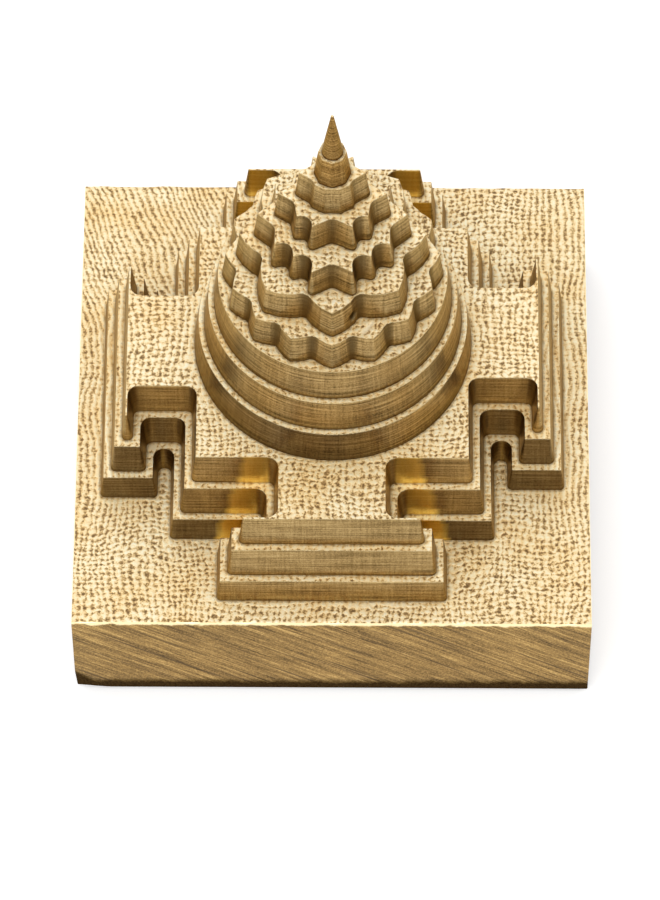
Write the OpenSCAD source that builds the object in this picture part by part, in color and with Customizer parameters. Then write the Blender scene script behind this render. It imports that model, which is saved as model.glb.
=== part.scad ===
// Meru shri yantra: a square brass block milled into stepped enclosures that rise to a pointed centre.
// The block is divided at the floors where the cutter changed depth, one piece for each enclosure.
// Millimetres, +Z up, the underside rests on Z = 0 and the front gate faces -Y.

/* [Base] */
// Width of the square base block, which leaves a flat floor round the lowest wall
base_width = 75.6; // [70:0.2:110]
// Height of the sawn base block under the lowest floor
base_height = 20.4; // [10:0.1:30]
// Rounding of the base's bottom edges
bottom_radius = 1.4; // [0.5:0.1:3]

/* [Cutter] */
// Slope of every milled wall from upright, in degrees
wall_taper = 6.85; // [4:0.05:8]
// Radius of the cutter at its tip, which rounds the inner corners at a wall's foot
cutter_tip_radius = 0.9; // [0.5:0.05:0.9]

/* [Gate walls] */
// Height of the lowest gate wall
lower_wall_height = 4.9; // [3:0.1:6]
// Height of the middle and the upper gate wall
wall_height = 6; // [4:0.1:7]
// Flat ledge left on top of a gate wall around the next one
wall_ledge = 1.02; // [0.6:0.02:1.4]
// Half the width of a gate's neck, on the upper wall
neck_half = 7.75; // [6.5:0.05:9]
// Half the length of a gate's crossbar, on the upper wall
crossbar_half = 12.75; // [12.4:0.05:14]
// Thickness of a gate's crossbar at its top edge
crossbar_top = 0.3; // [0.25:0.05:1]
// Width of the slot beside a neck, at the foot of the lowest wall
slot_width = 1.85; // [1.85:0.05:2.4]
// How far back the right gate is set from the middle of its side
right_gate_shift = 1.6; // [0:0.1:2]

/* [Rings] */
// Height of each of the three rings
ring_height = 6.1; // [4:0.1:8]
// Flat ledge left on top of a ring around the next one
ring_ledge = 0.78; // [0.5:0.02:1.2]
// How far the lowest ring's foot reaches past the upper wall's sides, on the necks
ring_overhang = 0.5; // [0.1:0.05:0.8]

/* [Stars] */
// Height of each of the six pointed tiers
star_height = 5.3; // [4:0.1:5.8]
// Flat rim between the upper ring's edge and the feet of the sixteen petals' tips
petal_rim = 0.55; // [0.3:0.05:1]
// Step in from the sixteen petals' tips to the feet of the eight petals' tips
eight_petal_step = 1.4; // [1.2:0.05:2]
// Step in from the eight petals' tips to the feet of the fourteen-point tier's side tips
fourteen_step = 1.95; // [1.6:0.05:2.5]
// Step in from the fourteen-point tier's side tips to the feet of the outer ten-point tier's
outer_ten_step = 2.3; // [2:0.05:2.8]
// Step in from the outer ten-point tier's side tips to the feet of the inner ten-point tier's
inner_ten_step = 2.35; // [2:0.05:2.8]
// Step in from the inner ten-point tier's side tips to the foot of the eight-corner tier
eight_corner_step = 2.1; // [2:0.05:2.6]

/* [Spike] */
// Radius of the spike's foot, from which the whole plan is worked outward
spike_radius = 1.56; // [1.2:0.02:1.8]
// Flat ledge on top of the eight-corner tier around the spike
spike_ledge = 0.45; // [0.3:0.05:0.6]
// Height of the pointed spike in the middle
spike_height = 8.85; // [5:0.05:12]
// Radius of the spike's blunt point
spike_point_radius = 0.2; // [0.1:0.05:0.4]

/* [Hidden] */
// Sideways slope of every milled wall, for each millimetre of height
draft = tan(wall_taper);
// Rounding of a wall's outer corners at its top edge
edge_break = 0.1;
// Straight pieces in each corner's arc
arc_steps = 5;
// Sides of the square, each with a gate
square_sides = 4;
// Corners of one gate, from root to root of its neck
gate_corners = 8;
// Rings, petals, pointed tiers and the corners of the topmost tier
ring_count = 3;
petal_count = 16;
star_count = 6;
top_corner_count = 8;
// Pieces that a full circle is drawn with
circle_steps = 96;
// Yellow brass
brass = [0.78, 0.62, 0.34];

// Corners along one side, which are the square's own and then the gate's, and the roots of the gate's neck
side_corners = gate_corners + 1;
near_root = side_corners - gate_corners;
far_root = side_corners - 1;

// Radius of each pointed tier's tips at its top edge, from the topmost tier outward
star_flare = star_height * draft;
eight_corner_radius = spike_radius + spike_ledge;
inner_ten_radius = eight_corner_radius + star_flare + eight_corner_step;
outer_ten_radius = inner_ten_radius + star_flare + inner_ten_step;
fourteen_radius = outer_ten_radius + star_flare + outer_ten_step;
eight_petal_radius = fourteen_radius + star_flare + fourteen_step;
petal_radius = eight_petal_radius + star_flare + eight_petal_step;

// Rings, each a cone frustum inside the one below
ring_flare = ring_height * draft;
ring_step = ring_flare + ring_ledge;
top_ring_radius = petal_radius + star_flare + petal_rim;
ring_foot_radius = top_ring_radius + ring_flare + (ring_count - 1) * ring_step;

// Outward step from the upper wall's top outline to the middle and the lower wall's
middle_offset = wall_height * draft + wall_ledge;
lower_offset = 2 * middle_offset;
foot_offset = lower_offset + lower_wall_height * draft;

// Upper wall's plan, outward from the square that the rings stand on
square_half = ring_foot_radius - ring_overhang;
neck_length = slot_width + 2 * foot_offset;
crossbar_inner = square_half + neck_length;
gate_reach = crossbar_inner + crossbar_top;

// Corners over one quarter of each pointed tier, as [angle from the side tip, share of the tip's radius]
eight_petal_quarter = [[0, 1], [20, 0.79], [45, 1], [70, 0.79], [90, 1]];
fourteen_quarter = [
    [0, 1], [15, 0.785], [32, 0.9], [38.5, 0.685], [52.5, 0.845], [66.5, 0.635], [73.5, 0.955], [90, 0.775]
];
outer_ten_quarter = [[0, 1], [15, 0.72], [37.5, 0.815], [52, 0.58], [63, 0.815], [90, 0.54]];
inner_ten_quarter = [[0, 1], [26, 0.64], [40.5, 0.675], [70, 0.63], [90, 0.58]];

// Notch radius of the sixteen-petal tier, as a share of its tip radius
petal_notch = 0.9;

// How far the sides of the petals bow outward, as a share of a side's length
sixteen_petal_bow = 0.06;
eight_petal_bow = 0.09;
// Straight pieces that a bowed side is drawn with
bow_steps = 3;

// Floors, from the base up
lower_floor = base_height;
middle_floor = lower_floor + lower_wall_height;
upper_floor = middle_floor + wall_height;
ring_floor = upper_floor + wall_height;
star_floor = ring_floor + ring_count * ring_height;
spike_floor = star_floor + star_count * star_height;

// Outlines

function polar(radius, angle) = radius * [cos(angle), sin(angle)];

function turned(p, angle) = [p.x * cos(angle) - p.y * sin(angle), p.x * sin(angle) + p.y * cos(angle)];

// A quarter's corners mirrored round the full turn, as points
function full_turn(quarter, radius) =
    let (last = len(quarter) - 1)
    let (corners = concat(
        quarter,
        [for (i = [last - 1 : -1 : 0]) [180 - quarter[i][0], quarter[i][1]]],
        [for (i = [1 : last]) [180 + quarter[i][0], quarter[i][1]]],
        [for (i = [last - 1 : -1 : 1]) [360 - quarter[i][0], quarter[i][1]]]
    ))
    [for (c = corners) polar(radius * c[1], c[0])];

// Evenly spaced corners from the side tip on, with every second one at the notch's share of the radius
function even_star(corners, radius, notch = 1) =
    [for (i = [0 : corners - 1]) polar(radius * (i % 2 == 0 ? 1 : notch), 360 * i / corners)];

// A point on a side from a to b, t of the way along it, with the side bowed outward
function bowed_point(a, b, t, bow) = a + t * (b - a) + 4 * bow * t * (1 - t) * norm(b - a) * outward(a, b);

// The same corners with every side between two of them bowed outward
function bowed(corners, bow) =
    let (count = len(corners))
    [
        for (i = [0 : count - 1], step = [0 : bow_steps - 1])
        bowed_point(corners[i], corners[(i + 1) % count], step / bow_steps, bow)
    ];

// One side of the square with its T-shaped gate, facing +X and grown outward by grow
function gate_side(grow, shift) =
    let (wall = square_half + grow, inner = crossbar_inner - grow, outer = gate_reach + grow)
    let (neck = neck_half + grow, bar = crossbar_half + grow)
    [
        [wall, -wall], [wall, shift - neck], [inner, shift - neck], [inner, shift - bar],
        [outer, shift - bar], [outer, shift + bar], [inner, shift + bar], [inner, shift + neck],
        [wall, shift + neck]
    ];

// Only the right gate is set off from the middle of its side
function gate_shift(side) = side == 0 ? right_gate_shift : 0;

function side_turn(side) = 360 * side / square_sides;

function gate_outline(grow) =
    [for (side = [0 : square_sides - 1], p = gate_side(grow, gate_shift(side))) turned(p, side_turn(side))];

// Flat caps of the gate walls

// Index of the first and the last outline point of a corner, counted along one side of the square
function first_point(side, corner) = (side * side_corners + corner) * (arc_steps + 1);
function last_point(side, corner) = first_point(side, corner + 1) - 1;

// Middle of each gate's crossbar, then the middle of the square
gate_hubs = concat(
    [
        for (side = [0 : square_sides - 1])
        turned([(crossbar_inner + gate_reach) / 2, gate_shift(side)], side_turn(side))
    ],
    [[0, 0]]
);

// Outline points of each gate between the roots of its neck, then those of the square between gates
gate_runs = concat(
    [
        for (side = [0 : square_sides - 1])
        [for (i = [last_point(side, near_root) : first_point(side, far_root)]) i]
    ],
    [[
        for (side = [0 : square_sides - 1])
        for (i = [first_point(side, far_root) : last_point(side + 1, near_root)])
        i % first_point(square_sides, 0)
    ]]
);

// Neighbouring pairs round a closed run
function neighbours(run) = [for (i = [0 : len(run) - 1]) [run[i], run[(i + 1) % len(run)]]];

// Walls as a tapered cutter leaves them

function outward(a, b) =
    let (d = b - a)
    [d.y, -d.x] / norm(d);

// One corner's arc: an outer corner widens downward, an inner corner tightens to the cutter's tip
function corner_arc(before, at, after, height, flare) =
    let (n1 = outward(before, at), n2 = outward(at, after), bend = cross(n1, n2))
    let (radius = bend > 0 ? edge_break : -cutter_tip_radius - height * draft)
    let (centre = at - radius * (n1 + n2) / (1 + n1 * n2))
    let (start = atan2(n1.y, n1.x), sweep = atan2(bend, n1 * n2))
    [for (i = [0 : arc_steps]) centre + polar(radius + flare, start + sweep * i / arc_steps)];

function rounded(corners, height, flare) =
    let (count = len(corners))
    [
        for (i = [0 : count - 1])
        each corner_arc(corners[(i + count - 1) % count], corners[i], corners[(i + 1) % count], height, flare)
    ];

// A solid whose top edge follows the corners and whose walls slope out to its foot.
// Each flat cap is drawn as fans: a hub point, and the run of outline points seen from it.
module milled_tier(corners, floor_z, height, hubs = [[0, 0]], runs = undef) {
    foot = rounded(corners, height, height * draft);
    top = rounded(corners, height, 0);
    count = len(top);
    fans = is_undef(runs) ? [[for (i = [0 : count - 1]) i]] : runs;
    foot_hub = 2 * count;
    top_hub = foot_hub + len(hubs);
    polyhedron(
        points = concat(
            [for (p = foot) [p.x, p.y, floor_z]],
            [for (p = top) [p.x, p.y, floor_z + height]],
            [for (p = hubs) [p.x, p.y, floor_z]],
            [for (p = hubs) [p.x, p.y, floor_z + height]]
        ),
        faces = concat(
            [
                for (f = [0 : len(fans) - 1], pair = neighbours(fans[f]))
                each [[foot_hub + f, pair[0], pair[1]], [top_hub + f, count + pair[1], count + pair[0]]]
            ],
            [for (i = [0 : count - 1]) [i, count + i, count + (i + 1) % count, (i + 1) % count]]
        )
    );
}

// Base

module sawn_profile() {
    half = base_width / 2;
    translate([-half, bottom_radius])
        square([base_width, base_height - bottom_radius]);
    translate([bottom_radius - half, 0])
        square([base_width - 2 * bottom_radius, base_height]);
    for (side = [-1, 1])
        translate([side * (half - bottom_radius), bottom_radius])
            circle(r = bottom_radius, $fn = circle_steps);
}

module base_block() {
    color(brass)
        intersection() {
            rotate([90, 0, 0])
                linear_extrude(base_width, center = true)
                    sawn_profile();
            rotate([90, 0, 90])
                linear_extrude(base_width, center = true)
                    sawn_profile();
        }
}

// Gate walls

module lower_gate_wall() {
    color(brass)
        milled_tier(gate_outline(lower_offset), lower_floor, lower_wall_height, gate_hubs, gate_runs);
}

module middle_gate_wall() {
    color(brass)
        milled_tier(gate_outline(middle_offset), middle_floor, wall_height, gate_hubs, gate_runs);
}

module upper_gate_wall() {
    color(brass)
        milled_tier(gate_outline(0), upper_floor, wall_height, gate_hubs, gate_runs);
}

// Rings, counted from the lowest as level 0

module ring(level) {
    foot_radius = ring_foot_radius - level * ring_step;
    translate([0, 0, ring_floor + level * ring_height])
        cylinder(
            h = ring_height,
            r1 = foot_radius,
            r2 = foot_radius - ring_flare,
            $fn = circle_steps
        );
}

module lower_ring() {
    color(brass)
        ring(0);
}

module middle_ring() {
    color(brass)
        ring(1);
}

module upper_ring() {
    color(brass)
        ring(2);
}

// Pointed tiers, counted from the lowest as level 0

module star_tier(corners, level) {
    milled_tier(corners, star_floor + level * star_height, star_height);
}

module sixteen_petal_tier() {
    color(brass)
        star_tier(bowed(even_star(2 * petal_count, petal_radius, petal_notch), sixteen_petal_bow), 0);
}

module eight_petal_tier() {
    color(brass)
        star_tier(bowed(full_turn(eight_petal_quarter, eight_petal_radius), eight_petal_bow), 1);
}

module fourteen_point_tier() {
    color(brass)
        star_tier(full_turn(fourteen_quarter, fourteen_radius), 2);
}

module outer_ten_point_tier() {
    color(brass)
        star_tier(full_turn(outer_ten_quarter, outer_ten_radius), 3);
}

module inner_ten_point_tier() {
    color(brass)
        star_tier(full_turn(inner_ten_quarter, inner_ten_radius), 4);
}

module eight_corner_tier() {
    color(brass)
        star_tier(even_star(top_corner_count, eight_corner_radius), 5);
}

// Spike

module bindu_spike() {
    color(brass)
        translate([0, 0, spike_floor])
            cylinder(h = spike_height, r1 = spike_radius, r2 = spike_point_radius, $fn = circle_steps);
}

base_block();
lower_gate_wall();
middle_gate_wall();
upper_gate_wall();
lower_ring();
middle_ring();
upper_ring();
sixteen_petal_tier();
eight_petal_tier();
fourteen_point_tier();
outer_ten_point_tier();
inner_ten_point_tier();
eight_corner_tier();
bindu_spike();
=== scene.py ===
# Meru shri yantra: the milled brass block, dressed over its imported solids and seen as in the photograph.
import math

import bmesh
import bpy
import numpy as np
from mathutils import Matrix, Vector, noise
from mathutils.bvhtree import BVHTree
from mathutils.geometry import delaunay_2d_cdt
from mathutils.kdtree import KDTree


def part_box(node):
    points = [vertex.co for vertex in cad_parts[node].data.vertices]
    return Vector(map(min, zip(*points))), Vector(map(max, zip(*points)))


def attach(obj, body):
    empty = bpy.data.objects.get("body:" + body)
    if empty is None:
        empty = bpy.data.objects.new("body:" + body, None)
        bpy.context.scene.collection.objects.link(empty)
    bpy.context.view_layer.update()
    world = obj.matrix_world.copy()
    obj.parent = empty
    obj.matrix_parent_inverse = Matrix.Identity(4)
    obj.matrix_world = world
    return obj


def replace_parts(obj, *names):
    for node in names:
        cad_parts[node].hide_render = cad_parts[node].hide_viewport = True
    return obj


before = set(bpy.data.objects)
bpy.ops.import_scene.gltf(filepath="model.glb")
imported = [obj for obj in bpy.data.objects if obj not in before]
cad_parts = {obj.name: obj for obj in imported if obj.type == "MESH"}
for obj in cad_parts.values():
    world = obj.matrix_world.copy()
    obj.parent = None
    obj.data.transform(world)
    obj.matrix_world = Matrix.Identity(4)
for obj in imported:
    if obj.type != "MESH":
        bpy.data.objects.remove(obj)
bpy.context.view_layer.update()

# Tiers from the bottom up, in the order in which they stand on each other
BASE = "base_block"
GATE_WALLS = ["lower_gate_wall", "middle_gate_wall", "upper_gate_wall"]
RINGS = ["lower_ring", "middle_ring", "upper_ring"]
STARS = [
    "sixteen_petal_tier", "eight_petal_tier", "fourteen_point_tier",
    "outer_ten_point_tier", "inner_ten_point_tier", "eight_corner_tier",
]
SPIKE = "bindu_spike"
MILLED = [*GATE_WALLS, *RINGS, *STARS, SPIKE]

# Tiers with a shape, a finish or a flaw of their own
ROUND = [*RINGS, SPIKE]
TURNED = ["eight_corner_tier", SPIKE]
SCARRED = "sixteen_petal_tier"
DENTED = "eight_petal_tier"

# Shapes below are in millimetres, and Blender is in metres
MM = 0.001
# Points closer than this are one
WELD = 1e-6
# Edges sharper than this stay crisp
SHARP_ANGLE = math.radians(32)
# Places of the two materials in each piece's list
FLOOR_PLACE = 0
WALL_PLACE = 1

# Milled walls: spacing of points along a wall, of the cutter's passes up it, and the depth of their marks
WALL_SPACING = 0.4
PASS_HEIGHT = 0.6
SPIKE_PASS_HEIGHT = 0.42
ROWS_PER_PASS = 2
PASS_DEPTH = 0.028
PASS_EVENNESS = 0.7
PASS_WOBBLE = 0.6
PASS_WOBBLE_LENGTH = 6.0
CHATTER_DEPTH = 0.012
CHATTER_LENGTH = 0.55
CHATTER_SEED = 0.5
EDGE_BREAK = 0.05
FOOT_SUNK = 0.1

# Small hole in the front of the eight-petal tier, which deepens between these shares of its size
DENT_X = 2.95
DENT_Z = 62.7
DENT_WIDTH = 0.6
DENT_HEIGHT = 1.05
DENT_DEPTH = 0.3
DENT_FADE = (1.0, 0.5)

# Milled floors: spacing of points, pitch and depth of the cutter's marks, and how their rows wander
GRAIN = 0.2
MARK_PITCH = 0.96
MARK_DEPTH = 0.06
MARK_FADE = (-0.2, 0.9)
ROW_WANDER = 1.5
ROW_WANDER_SIZE = 9.0
MARK_SHAKE = 0.5
MARK_SHAKE_SIZE = 0.8
LINE_STEADINESS = 0.7
ROW_SEEDS = (0.3, 7.3)

# Rows lean from this place backward, and more toward the left
ROW_SLANT = 0.35
SLANT_FROM = 12.0
SLANT_SIDE = (8.0, -12.0)

# Spans over which marks turn into lines: at the side margins except in front, and at the back on the left
LINED_MARGIN = (26.0, 32.0)
LINED_FRONT = (-28.0, -12.0)
LINED_BACK = (12.0, 24.0)
LINED_LEFT = (5.0, -15.0)
LINED_SHARE = 0.6
LINED_PATCH_SHARE = 0.45
LINED_PATCH_SIZE = 9.0
LINED_PATCH_SEED = 3.1

# Scratch on the sixteen-petal floor, which deepens between these shares of its size
SCAR_PLACE = np.array([5.0, -12.4])
SCAR_TURN = math.radians(52)
SCAR_LENGTH = 1.8
SCAR_WIDTH = 0.5
SCAR_DEPTH = 2 * MARK_DEPTH
SCAR_FADE = (1.0, 0.3)

# Floor beside the foot of the wall on it, where a line of painted shade runs, inside its own rim and under
# the next tier
CREASE_SHADE_REACH = 0.36
FOOT_SAMPLES = 4
RIM_CLEARANCE = 0.12
HIDDEN_MARGIN = 0.25

# Sawn base: spacing of points, rounded lower edge, burr along the top edge, saw marks and the worn corner
BASE_SIDES = 4
SIDE_SPACING = 0.45
SIDE_ROW = 0.6
BOTTOM_RADIUS = 1.4
BOTTOM_STEPS = 6
BURR_HEIGHT = 0.14
BURR_WIDTH = 0.12
BURR_LENGTH = 3.2
BURR_LEAN = 0.1
BURR_SEED = (0.7, 2.9)
SAW_DEPTH = 0.03
SAW_SLOPE = math.radians(36)
SAW_STRETCH = 0.05
SAW_CROSSING = 1.2
SAW_SEED = 5.1
WORN_CORNER = 6.5
WORN_DEPTH = 0.25
WORN_EDGE = 0.8

# Slots beside the gates, whose walls get a painted amber reflection: how far and from where a wall looks
# across, softening points and facing needed
SLOT_REACH = 14.0
SLOT_START = 0.3
SLOT_FADE = 1
SLOT_FACING = 0.96

# Inner corners of a wall: points looked at each side, turn of a full corner, share on the lowest wall
HOLLOW_REACH = 3
HOLLOW_TURN = math.radians(42)
LOWER_HOLLOW = 0.4

# Walls darker in places: their spans outward from the middle, the end toward front and back, and the lowest
# ring's span
DARKENED_FROM = 12.0
DARKENED_FULL = {"lower_gate_wall": 16.0, "middle_gate_wall": 30.0}
DARKENED_DEPTH = 26.0
DARKENED_FADE = 4.0
DARKENED_RING_FROM = 12.0
DARKENED_RING_FULL = 0.0


# Outlines

def closed_step(loop):
    return np.roll(loop, -1, axis=0) - loop


def outward(loop):
    """Unit normals that point out of a loop that runs anticlockwise."""
    step = closed_step(loop)
    side = np.stack([step[:, 1], -step[:, 0]], axis=1)
    side /= np.linalg.norm(side, axis=1, keepdims=True)
    both = side + np.roll(side, 1, axis=0)
    return both / np.linalg.norm(both, axis=1, keepdims=True)


def circle(radius, spacing):
    count = math.ceil(2 * math.pi * radius / spacing)
    angle = np.arange(count) * 2 * math.pi / count
    return radius * np.stack([np.cos(angle), np.sin(angle)], axis=1)


def inside(points, loop):
    """True for each point that lies inside the loop, by counting crossings."""
    x, y = points[:, 0], points[:, 1]
    found = np.zeros(len(points), bool)
    for (ax, ay), (bx, by) in zip(loop, np.roll(loop, -1, axis=0)):
        if ay == by:
            continue
        crosses = (ay > y) != (by > y)
        found ^= crosses & (x < ax + (bx - ax) * (y - ay) / (by - ay))
    return found


def cap_loop(node, level):
    """The outline of a CAD node's flat face at that height, anticlockwise, in millimetres."""
    mesh = bmesh.new()
    mesh.from_mesh(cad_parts[node].data)
    bmesh.ops.remove_doubles(mesh, verts=mesh.verts, dist=WELD)
    flat = {f for f in mesh.faces if all(abs(v.co.z - level) < WELD for v in f.verts)}
    rim = [e for e in mesh.edges if sum(f in flat for f in e.link_faces) == 1]
    beside = {}
    for edge in rim:
        for v in edge.verts:
            beside.setdefault(v, []).append(edge.other_vert(v))
    first = rim[0].verts[0]
    walk = [first, beside[first][0]]
    while True:
        ahead = next(v for v in beside[walk[-1]] if v is not walk[-2])
        if ahead is first:
            break
        walk.append(ahead)
    loop = np.array([v.co.xy for v in walk]) / MM
    mesh.free()
    step = closed_step(loop)
    turned = np.sum(loop[:, 0] * step[:, 1] - loop[:, 1] * step[:, 0])
    return loop if turned > 0 else loop[::-1]


def paired(foot, top):
    """The foot loop turned round so that its points lie under those of the top loop."""
    turns = [np.sum((np.roll(foot, -k, axis=0) - top) ** 2) for k in range(len(foot))]
    return np.roll(foot, -int(np.argmin(turns)), axis=0)


def refined(foot, top, spacing):
    """Both loops with points added in step, so that none is further apart than the spacing."""
    feet, tops = [], []
    lengths = np.linalg.norm(closed_step(top), axis=1)
    for i, length in enumerate(lengths):
        ahead = (i + 1) % len(top)
        for share in np.linspace(0, 1, max(1, math.ceil(length / spacing)), endpoint=False):
            feet.append(foot[i] + (foot[ahead] - foot[i]) * share)
            tops.append(top[i] + (top[ahead] - top[i]) * share)
    return np.array(feet), np.array(tops)


def tier_shape(node):
    """(foot loop, top loop, floor, height) of a milled tier, in millimetres."""
    low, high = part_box(node)
    if node in ROUND:
        foot_radius = (high.x - low.x) / 2 / MM
        top_radius = np.linalg.norm(cap_loop(node, high.z)[0])
        foot = circle(foot_radius, WALL_SPACING / 2 if node == SPIKE else WALL_SPACING)
        return foot, foot * top_radius / foot_radius, low.z / MM, (high.z - low.z) / MM
    top = cap_loop(node, high.z)
    foot, top = refined(paired(cap_loop(node, low.z), top), top, WALL_SPACING)
    return foot, top, low.z / MM, (high.z - low.z) / MM


# Cutter marks

def smooth(low, high, value):
    """0 at low and beyond it, 1 at high and beyond it, with a soft rise between them."""
    share = np.clip((value - low) / (high - low), 0, 1)
    return share * share * (3 - 2 * share)


def drift(points, size, layer):
    """Smooth noise over a floor, with features of about that size."""
    return np.array([noise.noise((x / size, y / size, layer)) for x, y in points])


def mark_rows(points, lined, layer):
    """Place of each floor point in the cutter's rows, counted in marks across them and along them."""
    x, y = points[:, 0], points[:, 1]
    slant = ROW_SLANT * np.clip(y - SLANT_FROM, 0, None) * smooth(*SLANT_SIDE, x)
    shake = MARK_SHAKE * (1 - LINE_STEADINESS * lined)
    across, along = (
        ROW_WANDER * drift(points, ROW_WANDER_SIZE, layer + seed)
        + shake * drift(points, MARK_SHAKE_SIZE, layer + seed) for seed in ROW_SEEDS)
    return (x + slant + across) / MARK_PITCH, (y + along) / MARK_PITCH


def lined_share(points, layer):
    """How far the marks of a floor run together into lines, from 0 for dots to 1."""
    x, y = points[:, 0], points[:, 1]
    margin = smooth(*LINED_MARGIN, np.abs(x)) * smooth(*LINED_FRONT, y)
    behind = smooth(*LINED_BACK, y) * smooth(*LINED_LEFT, x)
    patches = drift(points, LINED_PATCH_SIZE, layer + LINED_PATCH_SEED)
    return np.clip(LINED_SHARE * np.maximum(margin, behind) + LINED_PATCH_SHARE * patches, 0, 1)


def mark_depth(across, along, lined):
    """How deep the cutter's marks are, from 0 on their crests to 1 in the pits."""
    lines = (1 + lined) * np.cos(2 * math.pi * across)
    breaks = (1 - lined) * np.cos(2 * math.pi * along)
    return smooth(*MARK_FADE, (lines + breaks) / 2)


def scar_depth(points):
    """The gouge in the sixteen-petal floor, from 0 outside it to 1 along its middle."""
    away = points - SCAR_PLACE
    ahead = away[:, 0] * math.cos(SCAR_TURN) + away[:, 1] * math.sin(SCAR_TURN)
    beside = away[:, 1] * math.cos(SCAR_TURN) - away[:, 0] * math.sin(SCAR_TURN)
    return smooth(*SCAR_FADE, np.hypot(ahead / SCAR_LENGTH, beside / SCAR_WIDTH))


def foot_distance(points, loop):
    """Distance of each floor point from the foot of the wall that stands on the floor."""
    step = closed_step(loop) / FOOT_SAMPLES
    samples = np.concatenate([loop + step * k for k in range(FOOT_SAMPLES)])
    tree = KDTree(len(samples))
    for i, (x, y) in enumerate(samples):
        tree.insert((x, y, 0.0), i)
    tree.balance()
    return np.array([tree.find((x, y, 0.0))[2] for x, y in points])


def floor_marks(node, flat, hidden_foot, layer):
    """What a floor's shape and its material need to know at each of its points."""
    lined = lined_share(flat, layer)
    across, along = mark_rows(flat, lined, layer)
    scar = scar_depth(flat) if node == SCARRED else np.zeros(len(flat))
    if hidden_foot is None:
        foot = np.full(len(flat), 2 * CREASE_SHADE_REACH)
    else:
        foot = foot_distance(flat, hidden_foot)
    return {"across": across, "along": along, "lined": lined, "scar": scar, "foot": foot}


# Meshes

def strip_faces(rows, count):
    """Quads between neighbouring rows of a closed strip."""
    here = np.arange(count)
    ahead = (here + 1) % count
    band = np.stack([here, ahead, ahead + count, here + count], axis=1)
    return np.concatenate([band + row * count for row in range(rows - 1)])


def floor_points(rim, hidden_foot):
    """Points for a floor inside its rim, left out where the next tier covers them."""
    low, high = rim.min(0), rim.max(0)
    xs = np.arange(low[0], high[0], GRAIN)
    ys = np.arange(low[1], high[1], GRAIN * math.sqrt(3) / 2)
    grid = np.array([(x + GRAIN / 2 * (j % 2), y) for j, y in enumerate(ys) for x in xs])
    keep = inside(grid, rim - RIM_CLEARANCE * outward(rim))
    if hidden_foot is not None:
        keep &= ~inside(grid, hidden_foot - HIDDEN_MARGIN * outward(hidden_foot))
    return grid[keep]


def floor_faces(flat, rim_count):
    """Triangles over a floor's points, of which the first ones are its rim."""
    rim = list(range(rim_count))
    edges = [(i, (i + 1) % rim_count) for i in rim]
    _, _, faces, origin, _, _ = delaunay_2d_cdt([Vector(p) for p in flat], edges, [rim], 1, WELD)
    return [[origin[v][0] for v in face] for face in faces]


def set_values(mesh, name, values, first=0):
    """Values for the mesh's points from the first one on, and 0 for the rest."""
    full = np.zeros(len(mesh.vertices))
    full[first:first + len(values)] = values
    mesh.attributes.new(name, "FLOAT", "POINT").data.foreach_set("value", full)


def wall_uv(rim, row_heights):
    """Arc length along the rim and height up the wall, for each corner of the wall's quads."""
    count = len(rim)
    arc = np.concatenate([[0], np.cumsum(np.linalg.norm(closed_step(rim[:, :2]), axis=1))])
    along = np.stack([arc[:-1], arc[1:], arc[1:], arc[:-1]], axis=1)
    return np.concatenate([
        np.stack([along, np.tile([low, low, high, high], (count, 1))], axis=2).reshape(-1, 2)
        for low, high in zip(row_heights, row_heights[1:])])


def make_piece(node, rows, row_heights, hidden_foot, layer, materials, wall_values):
    """A closed piece: walls from rows of points, a marked floor on top and a flat underside."""
    name = "milled_" + node
    count = rows.shape[1]
    start = (len(rows) - 1) * count
    rim = rows[-1]
    points = floor_points(rim[:, :2], hidden_foot)
    flat = np.concatenate([rim[:, :2], points])
    marks = floor_marks(node, flat, hidden_foot, layer)
    pit = mark_depth(marks["across"], marks["along"], marks["lined"])
    sunk = np.maximum(MARK_DEPTH * pit, SCAR_DEPTH * marks["scar"])[count:]
    verts = np.concatenate([rows.reshape(-1, 3), np.column_stack([points, rim[:, 2].max() - sunk])])
    quads = strip_faces(len(rows), count).tolist()
    caps = [[start + v for v in face] for face in floor_faces(flat, count)]
    caps.append(list(range(count))[::-1])
    mesh = bpy.data.meshes.new(name)
    mesh.from_pydata(verts * MM, [], quads + caps)
    piece = bpy.data.objects.new(name, mesh)
    bpy.context.scene.collection.objects.link(piece)

    for key, values in marks.items():
        set_values(mesh, key, values, start)
    rise = np.concatenate([np.repeat(row_heights[:-1], count), np.full(len(flat), row_heights[-1])])
    set_values(mesh, "rise", rise)
    set_values(mesh, "drop", row_heights[-1] - rise)
    for key, values in wall_values.items():
        set_values(mesh, key, values)
    cap_corners = [v for face in caps for v in face]
    uv = np.concatenate([wall_uv(rim, row_heights), verts[cap_corners][:, :2]])
    mesh.uv_layers.new(name="cut").data.foreach_set("uv", uv.ravel())

    for material in materials:
        mesh.materials.append(material)
    places = [WALL_PLACE] * len(quads) + [FLOOR_PLACE] * len(caps)
    mesh.polygons.foreach_set("material_index", places)
    mesh.shade_smooth()
    mesh.set_sharp_from_angle(angle=SHARP_ANGLE)
    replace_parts(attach(piece, "root"), node)


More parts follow.
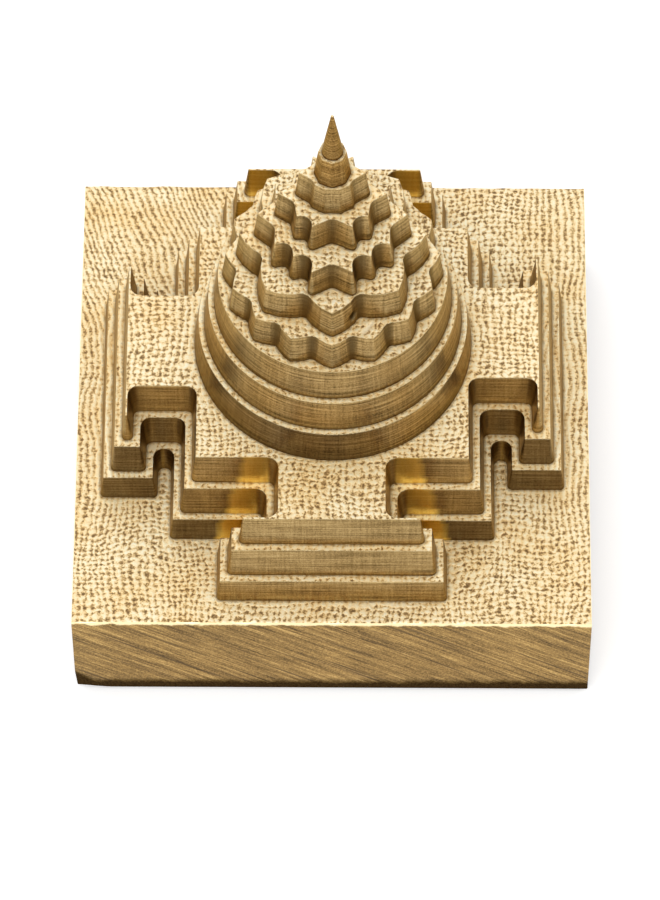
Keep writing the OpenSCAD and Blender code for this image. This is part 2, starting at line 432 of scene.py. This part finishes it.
def milled_rows(foot, top, floor, height, pass_height, layer):
    """Rows of wall points with the cutter's passes pressed into them, and their heights above the foot."""
    steps = ROWS_PER_PASS * round(height / pass_height)
    heights = np.concatenate([
        [-FOOT_SUNK], np.arange(steps) * height / steps, [height - EDGE_BREAK, height]])
    out = outward(top)
    arc = np.concatenate([[0], np.cumsum(np.linalg.norm(closed_step(top), axis=1))[:-1]])
    chatter = np.array([noise.noise((s / CHATTER_LENGTH, layer, CHATTER_SEED)) for s in arc])
    rows = []
    for h in heights:
        share = min(max(h / height, 0), 1)
        groove = PASS_DEPTH * (0.5 + 0.5 * math.cos(2 * math.pi * h / pass_height))
        wobble = np.array([noise.noise((s / PASS_WOBBLE_LENGTH, h / pass_height, layer)) for s in arc])
        shift = CHATTER_DEPTH * chatter - groove * (PASS_EVENNESS + PASS_WOBBLE * wobble)
        if h == height:
            shift = np.full(len(arc), -EDGE_BREAK)
        row = foot + (top - foot) * share + out * shift[:, None]
        rows.append(np.column_stack([row, np.full(len(row), floor + h)]))
    return np.array(rows), heights


def solid_tree(nodes):
    """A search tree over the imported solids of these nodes, in millimetres."""
    verts, faces = [], []
    for node in nodes:
        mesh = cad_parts[node].data
        faces += [[len(verts) + v for v in f.vertices] for f in mesh.polygons]
        verts += [v.co / MM for v in mesh.vertices]
    return BVHTree.FromPolygons(verts, faces)


def slot_share(rows, out, tree):
    """How far each wall point faces another wall across a slot to its front or back, from 0 to 1."""
    found = []
    for row in rows:
        for point, side in zip(row, out):
            ahead = Vector((*side, 0.0))
            hit = tree.ray_cast(Vector(point) + ahead * SLOT_START, ahead, SLOT_REACH)
            found.append(float(hit[0] is not None and abs(ahead.y) > SLOT_FACING))
    share = np.array(found).reshape(len(rows), -1)
    near = range(-SLOT_FADE, SLOT_FADE + 1)
    return np.mean([np.roll(share, k, axis=1) for k in near], axis=0).ravel()


def hollows(loop):
    """How far each point of a loop lies in an inner corner, from 0 to 1."""
    step = closed_step(loop)
    heading = np.arctan2(step[:, 1], step[:, 0])
    turn = (heading - np.roll(heading, 1) + math.pi) % (2 * math.pi) - math.pi
    near = range(-HOLLOW_REACH, HOLLOW_REACH + 1)
    bend = sum(np.roll(turn, k) * (1 - abs(k) / (HOLLOW_REACH + 1)) for k in near)
    return np.clip(-bend / HOLLOW_TURN, 0, 1)


def darkening(node, loop, out, hollow):
    """How far each point round a wall is darkened, from 0 to 1, on its sides that face front or back."""
    if node in DARKENED_FULL:
        share = smooth(DARKENED_FROM, DARKENED_FULL[node], np.abs(loop[:, 0]))
        share *= smooth(DARKENED_DEPTH + DARKENED_FADE, DARKENED_DEPTH, np.abs(loop[:, 1])) * (1 - hollow)
    elif node == RINGS[0]:
        share = smooth(DARKENED_RING_FROM, DARKENED_RING_FULL, loop[:, 0])
    else:
        share = np.zeros(len(loop))
    return share * np.abs(out[:, 1])


def dent(rows, out):
    """Presses the small hole into a front wall, and says how deep each wall point lies in it."""
    level = (rows[:, :, 0] - DENT_X) / DENT_WIDTH
    above = (rows[:, :, 2] - DENT_Z) / DENT_HEIGHT
    share = smooth(*DENT_FADE, np.hypot(level, above)) * (rows[:, :, 1] < 0)
    rows[:, :, :2] -= DENT_DEPTH * share[:, :, None] * out
    return share.ravel()


# Materials

# Spans that noise mostly stays within
WIDE_NOISE = (0.25, 0.75)
NOISE = (0.3, 0.7)

# Floors: tones from the crests of the marks, the lightest a painted highlight, to the pits where the cutter
# tore the metal, darkened as painted shade, and what moves a place along them
FLOOR_METALLIC = 0.3
FLOOR_ROUGHNESS = (0.45, 0.65)
FLOOR_TONES = [
    (0.08, (1.0, 0.94, 0.73)), (0.42, (1.0, 0.83, 0.51)), (0.55, (0.85, 0.63, 0.32)),
    (0.68, (0.48, 0.315, 0.13)), (0.88, (0.2, 0.12, 0.045)),
]
TEAR_AND_SHADE_RANGE = 1.5
DOT_TEAR = 0.5
LINE_TEAR = 0.6
FINE_TEAR = 0.9
PATCHY_TEAR = (-0.4, 0.3)
CALM_TEAR = -0.55
CALM_REACH = (0.3, 1.4)

# Floors: broad tints, the painted warm reflection of a wall on the floor beside it, the painted shade line
# along its foot and the scratch
BROAD_NOISE = (0.4, 0.75)
COOL_TINT = (1.0, 0.99, 0.96)
WARM_TINT = (0.96, 0.86, 0.68)
WALL_REFLECTION_TINT = (1.0, 0.87, 0.62)
WALL_REFLECTION_REACH = (0.2, 1.8)
WALL_REFLECTION_SHARE = 0.4
CREASE_SHADE_BROWN = (0.26, 0.165, 0.066)
CREASE_SHADE_START = 0.1
CREASE_SHADE_SHARE = 0.6
CREASE_SHADE_SHAKE = 0.25
SCAR_GOLD = (0.98, 0.84, 0.56)

# Walls: the cutter's passes, chatter and specks, each by its share, and tones from dark to light, all
# darker than the floor's brass as a painted dark reflection of the surroundings
PASS_STRETCH = (0.07, 3.0, 1.0)
PASS_SHARE = 0.52
CHATTER_STRETCH = (2.6, 0.12, 1.0)
CHATTER_SHARE = 0.17
SPECK_SHARE = 0.31
WALL_STOPS = (0.4, 0.5, 0.61)
WALL_ROUGHNESS = (0.42, 0.28)
WALL_EDGE_TINT = (0.8, 0.68, 0.5, 1.0)
GATE_SHADED_TONES = [(0.14, 0.088, 0.034), (0.325, 0.22, 0.09), (0.56, 0.405, 0.188)]
STAR_SHADED_TONES = [(0.085, 0.053, 0.02), (0.325, 0.218, 0.087), (0.58, 0.415, 0.19)]
SPIKE_SHADED_TONES = [(0.06, 0.031, 0.008), (0.235, 0.13, 0.037), (0.52, 0.325, 0.11)]

# Walls: painted shade low down, at the foot and in inner corners, darker places, painted amber reflection
# in the slots, painted highlight on the rim and painted shade in the small hole
GATE_LOW_SHADE = 0.85
STAR_LOW_SHADE = 0.62
SPIKE_LOW_SHADE = 0.8
LOW_SHADE_HEIGHT = 3.5
FOOT_SHADE = 0.8
FOOT_SHADE_HEIGHT = 0.5
HOLLOW_SHADE = 0.9
DARKENED_TONE = (0.48, 0.5, 0.6)
SLOT_REFLECTION_TONES = [(0.4, (0.76, 0.52, 0.115)), (0.6, (1.0, 0.78, 0.26))]
RIM_HIGHLIGHT_GOLD = (0.92, 0.74, 0.42)
RIM_HIGHLIGHT_HEIGHT = 3 * EDGE_BREAK
RIM_HIGHLIGHT_SHAKE = (-0.1, 0.2)
RIM_HIGHLIGHT_SHARE = 0.75
HOLE_SHADE = (0.03, 0.02, 0.01)

# Sawn sides: coarse and fine scratches and grit, each by its share, and the deep scratches
COARSE_STRETCH = (0.05, 0.9, 1.0)
COARSE_SHARE = 0.4
FINE_STRETCH = (0.12, 3.0, 1.0)
FINE_SHARE = 0.32
GRIT_SHARE = 0.28
SAWN_ROUGHNESS = (0.5, 0.38)
SAWN_TONES = [
    (0.41, (0.07, 0.038, 0.009)), (0.46, (0.2, 0.118, 0.032)),
    (0.53, (0.39, 0.24, 0.072)), (0.6, (0.66, 0.44, 0.155)),
]
GOUGE_STRETCH = (0.035, 1.7, 1.0)
GOUGE_SPAN = (0.57, 0.66)
GOUGE_SHARE = 0.85
GOUGE_BROWN = (0.09, 0.052, 0.018)

# Sawn sides: the bright burr along the top edge and the lower edge, stained and darkened with painted shade
BURR_GOLD = (1.0, 0.84, 0.5)
BURR_SHAKE = 0.35
BURR_SPAN = (0.35, 0.65)
STAIN_AND_SHADE_HEIGHT = 3.2
STAIN_AND_SHADE_FADE = 0.8
STAIN_AND_SHADE_SHAKE = 0.7
STAIN_AND_SHADE_TONES = [(0.35, (0.026, 0.014, 0.005)), (0.7, (0.09, 0.052, 0.019))]


class Shader:
    """A node material with short calls for the nodes used here."""

    def __init__(self, name, metallic):
        self.material = bpy.data.materials.new(name)
        self.material.use_nodes = True
        self.tree = self.material.node_tree
        self.surface = self.tree.nodes["Principled BSDF"]
        self.surface.inputs["Metallic"].default_value = metallic

    def add(self, kind, **settings):
        made = self.tree.nodes.new(kind)
        for key, value in settings.items():
            setattr(made, key, value)
        return made

    def feed(self, socket, value):
        if isinstance(value, bpy.types.NodeSocket):
            self.tree.links.new(value, socket)
        else:
            socket.default_value = value

    def math(self, operation, a, b=0.0):
        made = self.add("ShaderNodeMath", operation=operation)
        self.feed(made.inputs[0], a)
        self.feed(made.inputs[1], b)
        return made.outputs[0]

    def attribute(self, name):
        return self.add("ShaderNodeAttribute", attribute_name=name).outputs["Fac"]

    def stretched(self, vector, scale):
        made = self.add("ShaderNodeVectorMath", operation="MULTIPLY")
        self.feed(made.inputs[0], vector)
        self.feed(made.inputs[1], scale)
        return made.outputs[0]

    def place(self):
        """Position on the object, in millimetres."""
        return self.stretched(self.add("ShaderNodeTexCoord").outputs["Object"], (1 / MM,) * 3)

    def cut(self):
        """Position along a wall and up it, in millimetres."""
        return self.add("ShaderNodeUVMap", uv_map="cut").outputs["UV"]

    def noise(self, vector, scale=1.0, detail=2.0, roughness=0.5):
        made = self.add("ShaderNodeTexNoise")
        self.feed(made.inputs["Vector"], vector)
        made.inputs["Scale"].default_value = scale
        made.inputs["Detail"].default_value = detail
        made.inputs["Roughness"].default_value = roughness
        return made.outputs["Fac"]

    def spread(self, value, low, high, to_low=0.0, to_high=1.0):
        """The value's span from low to high, laid onto another span and held at its ends."""
        made = self.add("ShaderNodeMapRange")
        self.feed(made.inputs["Value"], value)
        ends = {"From Min": low, "From Max": high, "To Min": to_low, "To Max": to_high}
        for name, number in ends.items():
            made.inputs[name].default_value = number
        return made.outputs["Result"]

    def ramp(self, value, stops):
        made = self.add("ShaderNodeValToRGB")
        self.feed(made.inputs["Fac"], value)
        elements = made.color_ramp.elements
        while len(elements) < len(stops):
            elements.new(1.0)
        for element, (position, colour) in zip(elements, stops):
            element.position = position
            element.color = (*colour, 1.0)
        return made.outputs["Color"]

    def blend(self, share, a, b, mode="MIX"):
        made = self.add("ShaderNodeMix", data_type="RGBA", blend_type=mode)
        self.feed(made.inputs["Factor"], share)
        for socket, value in zip([made.inputs[6], made.inputs[7]], [a, b]):
            self.feed(socket, value if isinstance(value, bpy.types.NodeSocket) else (*value, 1.0))
        return made.outputs[2]

    def weighted(self, *parts):
        """The sum of values that are each given with its share."""
        products = [self.math("MULTIPLY", value, share) for value, share in parts]
        total = products[0]
        for product in products[1:]:
            total = self.math("ADD", total, product)
        return total

    def wave(self, turns):
        """A cosine wave with one crest for each whole number of turns."""
        return self.math("COSINE", self.math("MULTIPLY", turns, 2 * math.pi))

    def grey(self, value):
        made = self.add("ShaderNodeCombineColor")
        for socket in made.inputs:
            self.feed(socket, value)
        return made.outputs["Color"]

    def bump(self, height, strength, distance):
        made = self.add("ShaderNodeBump")
        made.inputs["Strength"].default_value = strength
        made.inputs["Distance"].default_value = distance
        self.feed(made.inputs["Height"], height)
        self.feed(self.surface.inputs["Normal"], made.outputs["Normal"])

    def finish(self, colour, roughness):
        self.feed(self.surface.inputs["Base Color"], colour)
        self.feed(self.surface.inputs["Roughness"], roughness)
        return self.material


def tear_and_shade_share(shader, fine):
    """How far each place of a floor lies in the cutter's tears and their painted shade, from below 0 on the
    crests to above 0 in the pits.
    """
    patchy = shader.noise(shader.place(), scale=0.8)
    lined = shader.attribute("lined")
    across = shader.wave(shader.attribute("across"))
    along = shader.wave(shader.attribute("along"))
    tear_and_shade = shader.weighted(
        (across, shader.spread(lined, 0.0, 1.0, DOT_TEAR, LINE_TEAR)),
        (along, shader.spread(lined, 0.0, 1.0, DOT_TEAR, 0.0)))
    tear_and_shade = shader.math("ADD", tear_and_shade, shader.spread(fine, *WIDE_NOISE, -FINE_TEAR, FINE_TEAR))
    tear_and_shade = shader.math("ADD", tear_and_shade, shader.spread(patchy, *NOISE, *PATCHY_TEAR))
    calm = shader.spread(shader.attribute("foot"), *CALM_REACH, CALM_TEAR, 0.0)
    return shader.math("ADD", tear_and_shade, calm)


def floor_brass():
    """Pale gold floor with rows of brown pits where the cutter tore the metal, with painted shade in the
    pits and a painted highlight on the crests.
    """
    shader = Shader("milled_floor_brass", FLOOR_METALLIC)
    fine = shader.noise(shader.place(), scale=3.6, detail=3.0, roughness=0.6)
    broad = shader.noise(shader.place(), scale=0.11)
    foot = shader.attribute("foot")
    tear_and_shade = tear_and_shade_share(shader, fine)
    # Tones from a painted highlight on the crests to brown pits darkened with painted shade
    colour = shader.ramp(shader.spread(tear_and_shade, -TEAR_AND_SHADE_RANGE, TEAR_AND_SHADE_RANGE), FLOOR_TONES)
    tint = shader.blend(shader.spread(broad, *BROAD_NOISE), COOL_TINT, WARM_TINT)
    colour = shader.blend(1.0, colour, tint, "MULTIPLY")
    # Painted reflection: the floor is warmed beside the foot of the brass wall
    strip = shader.spread(foot, *WALL_REFLECTION_REACH, WALL_REFLECTION_SHARE, 0.0)
    colour = shader.blend(strip, colour, WALL_REFLECTION_TINT, "MULTIPLY")
    # Painted shade: a brown line on the floor along the foot of the wall
    shaken = shader.math("ADD", foot, shader.spread(fine, *WIDE_NOISE, -CREASE_SHADE_SHAKE, CREASE_SHADE_SHAKE))
    line = shader.spread(shaken, CREASE_SHADE_START, CREASE_SHADE_REACH, CREASE_SHADE_SHARE, 0.0)
    colour = shader.blend(line, colour, CREASE_SHADE_BROWN)
    colour = shader.blend(shader.attribute("scar"), colour, SCAR_GOLD)
    shader.bump(tear_and_shade, strength=0.5, distance=-0.03 * MM)
    return shader.finish(colour, shader.spread(tear_and_shade, -1.0, 1.0, *FLOOR_ROUGHNESS))


def wall_brass(name, tones, low_shade_tone):
    """Brown-gold wall with the cutter's level passes and upright chatter, darker than the floor as a
    painted dark reflection, and with a painted amber reflection inside the slots.
    """
    shader = Shader(name, 1.0)
    shader.surface.inputs["Specular Tint"].default_value = WALL_EDGE_TINT
    cut = shader.cut()
    passes = shader.noise(shader.stretched(cut, PASS_STRETCH), detail=4.0, roughness=0.7)
    chatter = shader.noise(shader.stretched(cut, CHATTER_STRETCH), detail=3.0, roughness=0.65)
    speck = shader.noise(shader.place(), scale=5.0, detail=3.0, roughness=0.7)
    mixed = shader.weighted((passes, PASS_SHARE), (chatter, CHATTER_SHARE), (speck, SPECK_SHARE))
    # Wall tones, darker than the floor's brass as a painted dark reflection
    colour = shader.ramp(mixed, list(zip(WALL_STOPS, tones)))
    rise = shader.attribute("rise")
    # Painted shade: the wall grows darker toward its foot
    low_shade = shader.spread(rise, 0.0, LOW_SHADE_HEIGHT, low_shade_tone, 1.0)
    colour = shader.blend(1.0, colour, shader.grey(low_shade), "MULTIPLY")
    # Some walls are darker in places on their sides that face front or back
    colour = shader.blend(shader.attribute("darkened"), colour, DARKENED_TONE, "MULTIPLY")
    foot = shader.spread(rise, 0.0, FOOT_SHADE_HEIGHT, FOOT_SHADE, 0.0)
    hollow = shader.math("MULTIPLY", shader.attribute("hollow"), HOLLOW_SHADE)
    colour = shader.blend(shader.math("MAXIMUM", foot, hollow), colour, tones[0])
    # Painted amber reflection on the walls inside the slots
    colour = shader.blend(shader.attribute("slot"), colour, shader.ramp(mixed, SLOT_REFLECTION_TONES))
    # Painted highlight along the top rim of the wall
    rim = shader.math("ADD", shader.attribute("drop"), shader.spread(speck, *NOISE, *RIM_HIGHLIGHT_SHAKE))
    colour = shader.blend(shader.spread(rim, 0.0, RIM_HIGHLIGHT_HEIGHT, RIM_HIGHLIGHT_SHARE, 0.0), colour, RIM_HIGHLIGHT_GOLD)
    # Painted shade inside the small hole
    colour = shader.blend(shader.attribute("dent"), colour, HOLE_SHADE)
    shader.bump(mixed, strength=0.6, distance=0.05 * MM)
    return shader.finish(colour, shader.spread(mixed, *NOISE, *WALL_ROUGHNESS))


def stain_and_shade_share(shader):
    """How dark a base side is, from 0 to 1: along its lower edge, where stain and painted shade lie, and at
    the worn corner.
    """
    uneven = shader.noise(shader.place(), scale=0.35, detail=5.0, roughness=0.7)
    shake = shader.spread(uneven, *WIDE_NOISE, -STAIN_AND_SHADE_SHAKE, STAIN_AND_SHADE_SHAKE)
    level = shader.math("ADD", shader.attribute("rise"), shake)
    edge = shader.spread(level, STAIN_AND_SHADE_HEIGHT - STAIN_AND_SHADE_FADE, STAIN_AND_SHADE_HEIGHT + STAIN_AND_SHADE_FADE, 1.0, 0.0)
    return shader.math("MAXIMUM", edge, shader.attribute("worn"))


def sawn_brass():
    """Base side with the slanting scratches of a saw, and a matte dark lower edge of stain and painted
    shade.
    """
    shader = Shader("sawn_brass", 1.0)
    turn = shader.add("ShaderNodeMapping")
    shader.feed(turn.inputs["Vector"], shader.cut())
    turn.inputs["Rotation"].default_value = (0.0, 0.0, SAW_SLOPE)
    slant = turn.outputs["Vector"]
    coarse = shader.noise(shader.stretched(slant, COARSE_STRETCH), detail=6.0, roughness=0.75)
    fine = shader.noise(shader.stretched(slant, FINE_STRETCH), detail=4.0, roughness=0.7)
    grit = shader.noise(shader.place(), scale=4.2, detail=3.0, roughness=0.7)
    mixed = shader.weighted((coarse, COARSE_SHARE), (fine, FINE_SHARE), (grit, GRIT_SHARE))
    colour = shader.ramp(mixed, SAWN_TONES)
    gouge = shader.noise(shader.stretched(slant, GOUGE_STRETCH), detail=3.0, roughness=0.6)
    colour = shader.blend(shader.spread(gouge, *GOUGE_SPAN, 0.0, GOUGE_SHARE), colour, GOUGE_BROWN)
    wavy = shader.noise(shader.place(), scale=0.45, detail=3.0, roughness=0.6)
    shake = shader.spread(wavy, *NOISE, -BURR_SHAKE, BURR_SHAKE)
    burr = shader.spread(shader.math("ADD", shader.attribute("drop"), shake), *BURR_SPAN, 1.0, 0.0)
    colour = shader.blend(burr, colour, BURR_GOLD)
    # Stain and painted shade along the downward-facing lower edge, and the darkened worn corner
    stain_and_shade = stain_and_shade_share(shader)
    colour = shader.blend(stain_and_shade, colour, shader.ramp(grit, STAIN_AND_SHADE_TONES))
    shader.feed(shader.surface.inputs["Metallic"], shader.math("SUBTRACT", 1.0, stain_and_shade))
    shader.surface.inputs["Specular IOR Level"].default_value = 0.0
    shader.bump(mixed, strength=0.7, distance=0.06 * MM)
    roughness = shader.spread(mixed, *NOISE, *SAWN_ROUGHNESS)
    return shader.finish(colour, shader.math("MAXIMUM", roughness, stain_and_shade))


# Pieces

def base_square(half):
    """The base's outline, with points along its sides."""
    count = math.ceil(2 * half / SIDE_SPACING)
    side = np.column_stack([np.full(count, half), np.linspace(-half, half, count, endpoint=False)])
    angles = np.arange(BASE_SIDES) * 2 * math.pi / BASE_SIDES
    turns = [np.array([[math.cos(a), -math.sin(a)], [math.sin(a), math.cos(a)]]) for a in angles]
    return np.concatenate([side @ turn.T for turn in turns])


def base_rows():
    """Rows of the base's sides from the underside up, and their heights."""
    low, high = (np.array(c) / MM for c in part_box(BASE))
    half = (high[0] - low[0]) / 2
    square = base_square(half)
    out = outward(square)
    angles = np.linspace(0, math.pi / 2, BOTTOM_STEPS + 1)
    levels = [(BOTTOM_RADIUS * (1 - math.cos(a)), BOTTOM_RADIUS * (1 - math.sin(a))) for a in angles]
    plain = round((high[2] - BOTTOM_RADIUS) / SIDE_ROW)
    levels += [(z, 0.0) for z in np.linspace(BOTTOM_RADIUS, high[2] - BURR_WIDTH, plain)[1:]]
    arc = np.arange(len(square)) * SIDE_SPACING
    rows = []
    for z, inset in levels:
        slant = z * SAW_CROSSING + arc * math.tan(SAW_SLOPE)
        saw = np.array([noise.noise((s * SAW_STRETCH, t, SAW_SEED)) for s, t in zip(arc, slant)])
        depth = (SAW_DEPTH if z > BOTTOM_RADIUS else 0.0) * (1 + saw) / 2
        row = square * (half - inset) / half - out * depth[:, None]
        rows.append(np.column_stack([row, np.full(len(row), z)]))
    burr = np.array([noise.noise((s / BURR_LENGTH, *BURR_SEED)) for s in arc])
    lip = high[2] + BURR_HEIGHT * np.clip(0.5 + burr, 0, 1)
    rows.append(np.column_stack([square + out * (BURR_LEAN * burr - BURR_WIDTH)[:, None], lip]))
    return np.array(rows), np.array([z for z, _ in levels] + [high[2]])


def wear_corner(rows, corner):
    """Rubs the block's corner down a little, and says how worn each point is."""
    away = np.sum(np.abs(rows - corner), axis=2)
    rows += WORN_DEPTH * np.sign([0, 0, 1] - corner) * smooth(WORN_CORNER, 0.0, away)[:, :, None]
    return smooth(WORN_CORNER, WORN_EDGE * WORN_CORNER, away).ravel()


def build_base(materials, hidden_foot):
    rows, heights = base_rows()
    worn = wear_corner(rows, np.array(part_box(BASE)[0]) / MM)
    make_piece(BASE, rows, heights, hidden_foot, 0.0, materials, {"worn": worn})


def build_tier(node, shape, layer, hidden_foot, materials, tree):
    pass_height = SPIKE_PASS_HEIGHT if node == SPIKE else PASS_HEIGHT
    rows, heights = milled_rows(*shape, pass_height, layer)
    top = shape[1]
    out = outward(top)
    hollow = hollows(top)
    shade = LOWER_HOLLOW * hollow if node == GATE_WALLS[0] else hollow
    darkened = darkening(node, top, out, hollow)
    wall_values = {"hollow": np.tile(shade, len(rows)), "darkened": np.tile(darkened, len(rows))}
    if node in GATE_WALLS:
        # Where the walls get a painted amber reflection inside the slots, kept out of inner corners
        wall_values["slot"] = slot_share(rows, out, tree) * np.tile(1 - hollow, len(rows))
    if node == DENTED:
        wall_values["dent"] = dent(rows, out)
    make_piece(node, rows, heights, hidden_foot, layer, materials, wall_values)


floor_metal = floor_brass()
gate_metal = wall_brass("milled_wall_brass", GATE_SHADED_TONES, GATE_LOW_SHADE)
star_metal = wall_brass("milled_tier_brass", STAR_SHADED_TONES, STAR_LOW_SHADE)
spike_metal = wall_brass("turned_spike_brass", SPIKE_SHADED_TONES, SPIKE_LOW_SHADE)


def wall_metal(node):
    if node in GATE_WALLS:
        return gate_metal
    return spike_metal if node in TURNED else star_metal


shapes = {node: tier_shape(node) for node in MILLED}
walls = solid_tree(GATE_WALLS)
build_base([floor_metal, sawn_brass()], shapes[MILLED[0]][0])
for layer, node in enumerate(MILLED, 1):
    above = shapes[MILLED[layer]][0] if layer < len(MILLED) else None
    build_tier(node, shapes[node], float(layer), above, [floor_metal, wall_metal(node)], walls)


# Stage, light and camera

FLOOR_SIZE = 4.0
FLOOR_COLOUR = (0.93, 0.93, 0.93, 1.0)
FLOOR_GLOW = 0.4
FLOOR_DROP = 0.02
WORLD_LIGHT = 0.7

# Lamps as place, size and power, and the point that they are aimed at, all in metres and watts
LAMPS = {
    "front_light": ((-0.25, -0.75, 1.35), 1.0, 8.0),
    "back_light": ((-0.2, 0.9, 1.3), 1.4, 3.0),
}
LAMP_AIM = Vector((0, 0, 0.03))

# The photograph's camera, fitted to the edges of the tiers, with its target and distance in millimetres
ELEVATION = math.radians(59.326)
YAW = math.radians(-0.566)
ROLL = math.radians(-0.22)
LENS = 244.4
DISTANCE = 900.5
TARGET = Vector((-0.404, -8.979, 21.3))


def seen_share(tree):
    """1 for rays that show a surface itself or its mirror image, and 0 for rays that only light another."""
    path = tree.nodes.new("ShaderNodeLightPath")
    seen = path.outputs["Is Camera Ray"]
    for kind in ("Is Glossy Ray", "Is Transmission Ray"):
        both = tree.nodes.new("ShaderNodeMath")
        tree.links.new(seen, both.inputs[0])
        tree.links.new(path.outputs[kind], both.inputs[1])
        seen = both.outputs[0]
    return seen


def white_floor():
    """A pale floor that keeps the object's soft shadow."""
    mesh = bpy.data.meshes.new("floor")
    half = FLOOR_SIZE / 2
    corners = [(-half, -half, 0), (half, -half, 0), (half, half, 0), (-half, half, 0)]
    mesh.from_pydata(corners, [], [(0, 1, 2, 3)])
    ground = bpy.data.objects.new("floor", mesh)
    ground.location.z = -FLOOR_DROP * MM
    bpy.context.scene.collection.objects.link(ground)
    paint = bpy.data.materials.new("pale_floor")
    paint.use_nodes = True
    surface = paint.node_tree.nodes["Principled BSDF"]
    surface.inputs["Base Color"].default_value = FLOOR_COLOUR
    surface.inputs["Roughness"].default_value = 1.0
    surface.inputs["Emission Color"].default_value = FLOOR_COLOUR
    tree = paint.node_tree
    glow = tree.nodes.new("ShaderNodeMath")
    glow.operation = "MULTIPLY"
    glow.inputs[1].default_value = FLOOR_GLOW
    tree.links.new(seen_share(tree), glow.inputs[0])
    tree.links.new(glow.outputs[0], surface.inputs["Emission Strength"])
    mesh.materials.append(paint)


def soft_world():
    """Even white light, seen as a plain white background."""
    world = bpy.data.worlds.new("studio")
    world.use_nodes = True
    bpy.context.scene.world = world
    tree = world.node_tree
    background = tree.nodes["Background"]
    background.inputs["Color"].default_value = (1.0, 1.0, 1.0, 1.0)
    strength = tree.nodes.new("ShaderNodeMapRange")
    strength.inputs["To Min"].default_value = WORLD_LIGHT
    strength.inputs["To Max"].default_value = 1.0
    tree.links.new(seen_share(tree), strength.inputs["Value"])
    tree.links.new(strength.outputs["Result"], background.inputs["Strength"])


def soft_box(name, place, size, power):
    """A square lamp aimed at the middle of the object."""
    data = bpy.data.lights.new(name, "AREA")
    data.size = size
    data.energy = power
    lamp = bpy.data.objects.new(name, data)
    lamp.location = place
    lamp.rotation_mode = "QUATERNION"
    lamp.rotation_quaternion = (LAMP_AIM - lamp.location).to_track_quat("-Z", "Y")
    bpy.context.scene.collection.objects.link(lamp)


def photo_camera():
    """The photograph's camera, from its fitted angles."""
    heading = Vector((math.sin(YAW), math.cos(YAW), 0))
    ahead = math.cos(ELEVATION) * heading - Vector((0, 0, math.sin(ELEVATION)))
    level = Vector((math.cos(YAW), -math.sin(YAW), 0))
    above = level.cross(ahead)
    right = math.cos(ROLL) * level + math.sin(ROLL) * above
    up = math.cos(ROLL) * above - math.sin(ROLL) * level
    data = bpy.data.cameras.new("photo_camera")
    data.lens = LENS
    camera = bpy.data.objects.new("photo_camera", data)
    turn = Matrix((right, up, -ahead)).transposed().to_4x4()
    camera.matrix_world = Matrix.Translation((TARGET - ahead * DISTANCE) * MM) @ turn
    bpy.context.scene.collection.objects.link(camera)
    bpy.context.scene.camera = camera


white_floor()
soft_world()
for name, (place, size, power) in LAMPS.items():
    soft_box(name, place, size, power)
photo_camera()
bpy.context.scene.view_settings.view_transform = "Standard"
